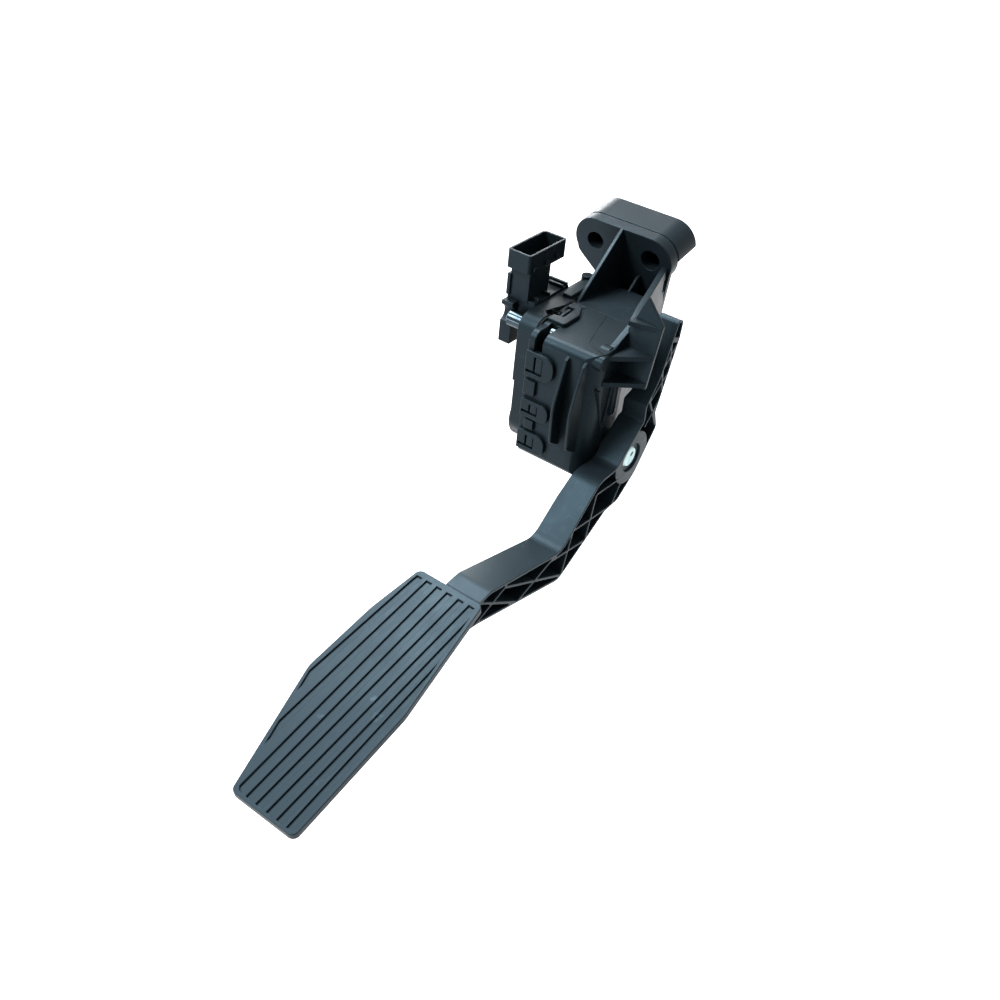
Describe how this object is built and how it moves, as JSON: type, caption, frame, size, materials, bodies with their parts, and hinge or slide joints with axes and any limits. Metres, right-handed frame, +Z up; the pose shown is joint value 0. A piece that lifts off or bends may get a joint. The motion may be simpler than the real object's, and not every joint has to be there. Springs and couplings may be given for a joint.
{
  "type": "accelerator pedal",
  "caption": "Electronic accelerator pedal: lattice-ribbed plastic arm with a long grooved foot pad, sprung pivot in a closed box housing, bolt flange and upright plug socket.",
  "frame": {"origin": "midway between the two bolt holes, on the rear face of the flange that meets the car", "axes": "+X across to the ribbed side of the arm, +Y away from the driver along the bolts, +Z up"},
  "size_m": [0.0919, 0.332, 0.116],
  "materials": {
    "housing_nylon": "fine grain, satin",
    "cover_nylon": "satin",
    "sensor_nylon": "satin",
    "socket_nylon": "satin",
    "tinned_brass": "bright",
    "seal_rubber": "matt",
    "arm_nylon": "fine grain, satin",
    "zinc_steel": "bright zinc",
    "bearing_plastic": "smooth",
    "spring_steel": "oiled",
    "lever_nylon": "satin",
    "polished_steel": "polished",
    "magnet": "sintered",
    "board_laminate": "lacquered",
    "chip_resin": "matt"
  },
  "bodies": {
    "base": {"housing": "housing_nylon", "housing_cover": "cover_nylon", "sensor_cover": "sensor_nylon", "connector_body": "socket_nylon", "connector_terminals": "tinned_brass", "cover_seal": "seal_rubber", "right_bush": "bearing_plastic", "left_bush": "bearing_plastic", "spring_seat": "lever_nylon", "outer_spring": "spring_steel", "inner_spring": "spring_steel", "cross_pin": "polished_steel", "circuit_board": "board_laminate", "board_components": "chip_resin", "idle_stop_buffer": "seal_rubber", "full_stop_buffer": "seal_rubber"},
    "pedal": {"pedal_arm": "arm_nylon", "pivot_shaft": "zinc_steel", "spring_lever": "lever_nylon", "friction_shoe": "bearing_plastic", "retaining_ring": "spring_steel", "rotor": "lever_nylon", "rotor_magnet": "magnet", "thrust_washer": "bearing_plastic"}
  },
  "joints": [
    {"name": "pedal_pivot", "type": "hinge", "parent": "base", "child": "pedal", "pos_m": [0, -0.09, -0.062], "axis": [1, 0, 0], "range_deg": [0, 12], "stiffness_Nm_per_rad": 13, "springref_deg": -9.74, "deforming": ["outer_spring", "inner_spring"]}
  ]
}
